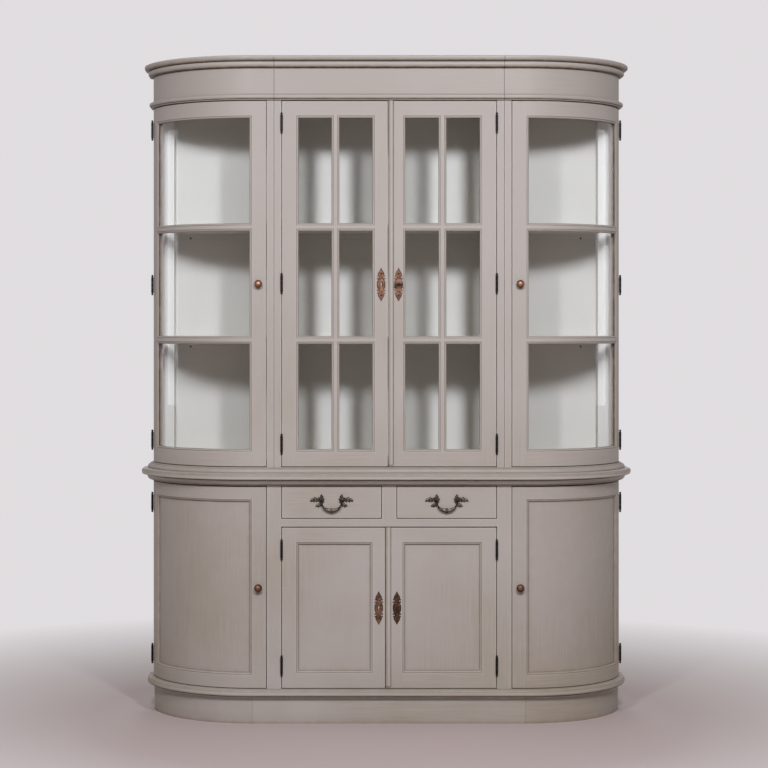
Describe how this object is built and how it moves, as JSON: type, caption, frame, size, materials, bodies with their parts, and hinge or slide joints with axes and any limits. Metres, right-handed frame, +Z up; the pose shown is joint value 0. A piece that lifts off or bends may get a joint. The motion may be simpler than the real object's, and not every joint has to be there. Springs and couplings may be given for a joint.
{
  "type": "kitchen dresser",
  "caption": "Bow-ended painted kitchen dresser: glazed cupboards with shelves above, drawers with drop handles and panelled cupboards below, and locks in the flat centre doors.",
  "frame": {"origin": "middle of the plan's box, on the floor", "axes": "+Z up, -Y out of the front of the dresser, +X to the right of someone facing it"},
  "size_m": [1.672, 0.39, 2.2],
  "materials": {
    "paint": "grey painted wood with a brown glaze in the mouldings",
    "white_paint": "white painted wood",
    "drawer_wood": "pale bare wood",
    "glass": "clear glass",
    "copper": "aged copper",
    "bronze": "dark antique bronze",
    "iron": "black iron",
    "lock_steel": "brushed steel"
  },
  "bodies": {
    "carcass": {"back_panels": "white_paint", "base_floor": "paint", "base_uprights": "paint", "cornices": "paint", "drawer_frame": "paint", "end_posts": "paint", "friezes": "paint", "hinge_frame_leaves": "iron", "plinth": "paint", "shelf_cleats": "white_paint", "shelves": "white_paint", "upper_floors_and_tops": "white_paint", "upper_sides": "paint", "waist_top": "paint"},
    "left_drawer_bail": {"left_drawer_bail": "bronze"},
    "left_drawer": {"left_drawer_box": "drawer_wood", "left_drawer_front": "paint", "left_drawer_handle_plates": "bronze"},
    "lower_left_bow_door": {"lower_left_bow_door_frame": "paint", "lower_left_bow_door_hinge_leaves": "iron", "lower_left_bow_door_knob": "copper", "lower_left_bow_door_panel": "paint"},
    "lower_left_door": {"lower_left_door_escutcheon": "copper", "lower_left_door_frame": "paint", "lower_left_door_hinge_leaves": "iron", "lower_left_door_panel": "paint"},
    "lower_right_bow_door": {"lower_right_bow_door_frame": "paint", "lower_right_bow_door_hinge_leaves": "iron", "lower_right_bow_door_knob": "copper", "lower_right_bow_door_panel": "paint"},
    "lower_right_door_bolt": {"lower_right_door_bolt": "lock_steel"},
    "lower_right_door": {"lower_right_door_escutcheon": "copper", "lower_right_door_frame": "paint", "lower_right_door_hinge_leaves": "iron", "lower_right_door_lock_case": "lock_steel", "lower_right_door_panel": "paint"},
    "lower_right_door_key": {"lower_right_door_key": "copper"},
    "right_drawer_bail": {"right_drawer_bail": "bronze"},
    "right_drawer": {"right_drawer_box": "drawer_wood", "right_drawer_front": "paint", "right_drawer_handle_plates": "bronze"},
    "upper_left_bow_door": {"upper_left_bow_door_frame": "paint", "upper_left_bow_door_glass": "glass", "upper_left_bow_door_hinge_leaves": "iron", "upper_left_bow_door_knob": "copper"},
    "upper_left_door": {"upper_left_door_escutcheon": "copper", "upper_left_door_frame": "paint", "upper_left_door_glass": "glass", "upper_left_door_hinge_leaves": "iron"},
    "upper_right_bow_door": {"upper_right_bow_door_frame": "paint", "upper_right_bow_door_glass": "glass", "upper_right_bow_door_hinge_leaves": "iron", "upper_right_bow_door_knob": "copper"},
    "upper_right_door_bolt": {"upper_right_door_bolt": "lock_steel"},
    "upper_right_door": {"upper_right_door_escutcheon": "copper", "upper_right_door_frame": "paint", "upper_right_door_glass": "glass", "upper_right_door_hinge_leaves": "iron", "upper_right_door_lock_case": "lock_steel"},
    "upper_right_door_key": {"upper_right_door_key": "copper"}
  },
  "joints": [
    {"name": "upper_left_door_hinge", "type": "hinge", "parent": "carcass", "child": "upper_left_door", "pos_m": [-0.3545, -0.1597, 1.45], "axis": [0, 0, -1], "range_deg": [0, 110]},
    {"name": "upper_left_bow_door_hinge", "type": "hinge", "parent": "carcass", "child": "upper_left_bow_door", "pos_m": [-0.80035, 0.11795, 1.45], "axis": [0, 0, -1], "range_deg": [0, 110]},
    {"name": "upper_right_door_hinge", "type": "hinge", "parent": "carcass", "child": "upper_right_door", "pos_m": [0.3545, -0.1597, 1.45], "axis": [0, 0, 1], "range_deg": [0, 110]},
    {"name": "upper_right_bow_door_hinge", "type": "hinge", "parent": "carcass", "child": "upper_right_bow_door", "pos_m": [0.80035, 0.11795, 1.45], "axis": [0, 0, 1], "range_deg": [0, 110]},
    {"name": "lower_left_door_hinge", "type": "hinge", "parent": "carcass", "child": "lower_left_door", "pos_m": [-0.3545, -0.1597, 0.382], "axis": [0, 0, -1], "range_deg": [0, 110]},
    {"name": "lower_left_bow_door_hinge", "type": "hinge", "parent": "carcass", "child": "lower_left_bow_door", "pos_m": [-0.80035, 0.11795, 0.382], "axis": [0, 0, -1], "range_deg": [0, 110]},
    {"name": "lower_right_door_hinge", "type": "hinge", "parent": "carcass", "child": "lower_right_door", "pos_m": [0.3545, -0.1597, 0.382], "axis": [0, 0, 1], "range_deg": [0, 110]},
    {"name": "lower_right_bow_door_hinge", "type": "hinge", "parent": "carcass", "child": "lower_right_bow_door", "pos_m": [0.80035, 0.11795, 0.382], "axis": [0, 0, 1], "range_deg": [0, 110]},
    {"name": "upper_key_turn", "type": "hinge", "parent": "upper_right_door", "child": "upper_right_door_key", "pos_m": [0.031, -0.155, 1.447], "axis": [0, 1, 0], "range_deg": [0, 90]},
    {"name": "upper_bolt_throw", "type": "slide", "parent": "upper_right_door", "child": "upper_right_door_bolt", "axis": [-1, 0, 0], "range_m": [0, 0.0101]},
    {"name": "lower_key_turn", "type": "hinge", "parent": "lower_right_door", "child": "lower_right_door_key", "pos_m": [0.0255, -0.155, 0.381], "axis": [0, 1, 0], "range_deg": [0, 90]},
    {"name": "lower_bolt_throw", "type": "slide", "parent": "lower_right_door", "child": "lower_right_door_bolt", "axis": [-1, 0, 0], "range_m": [0, 0.0101]},
    {"name": "left_drawer_slide", "type": "slide", "parent": "carcass", "child": "left_drawer", "axis": [0, -1, 0], "range_m": [0, 0.2]},
    {"name": "left_drawer_bail_swing", "type": "hinge", "parent": "left_drawer", "child": "left_drawer_bail", "pos_m": [-0.18975, -0.166, 0.741], "axis": [-1, 0, 0], "range_deg": [0, 80]},
    {"name": "right_drawer_slide", "type": "slide", "parent": "carcass", "child": "right_drawer", "axis": [0, -1, 0], "range_m": [0, 0.2]},
    {"name": "right_drawer_bail_swing", "type": "hinge", "parent": "right_drawer", "child": "right_drawer_bail", "pos_m": [0.18975, -0.166, 0.741], "axis": [-1, 0, 0], "range_deg": [0, 80]}
  ],
  "couplings": [
    {"joint": "upper_bolt_throw", "follows": "upper_key_turn", "m_per_rad": 0.006366},
    {"joint": "lower_bolt_throw", "follows": "lower_key_turn", "m_per_rad": 0.006366}
  ]
}
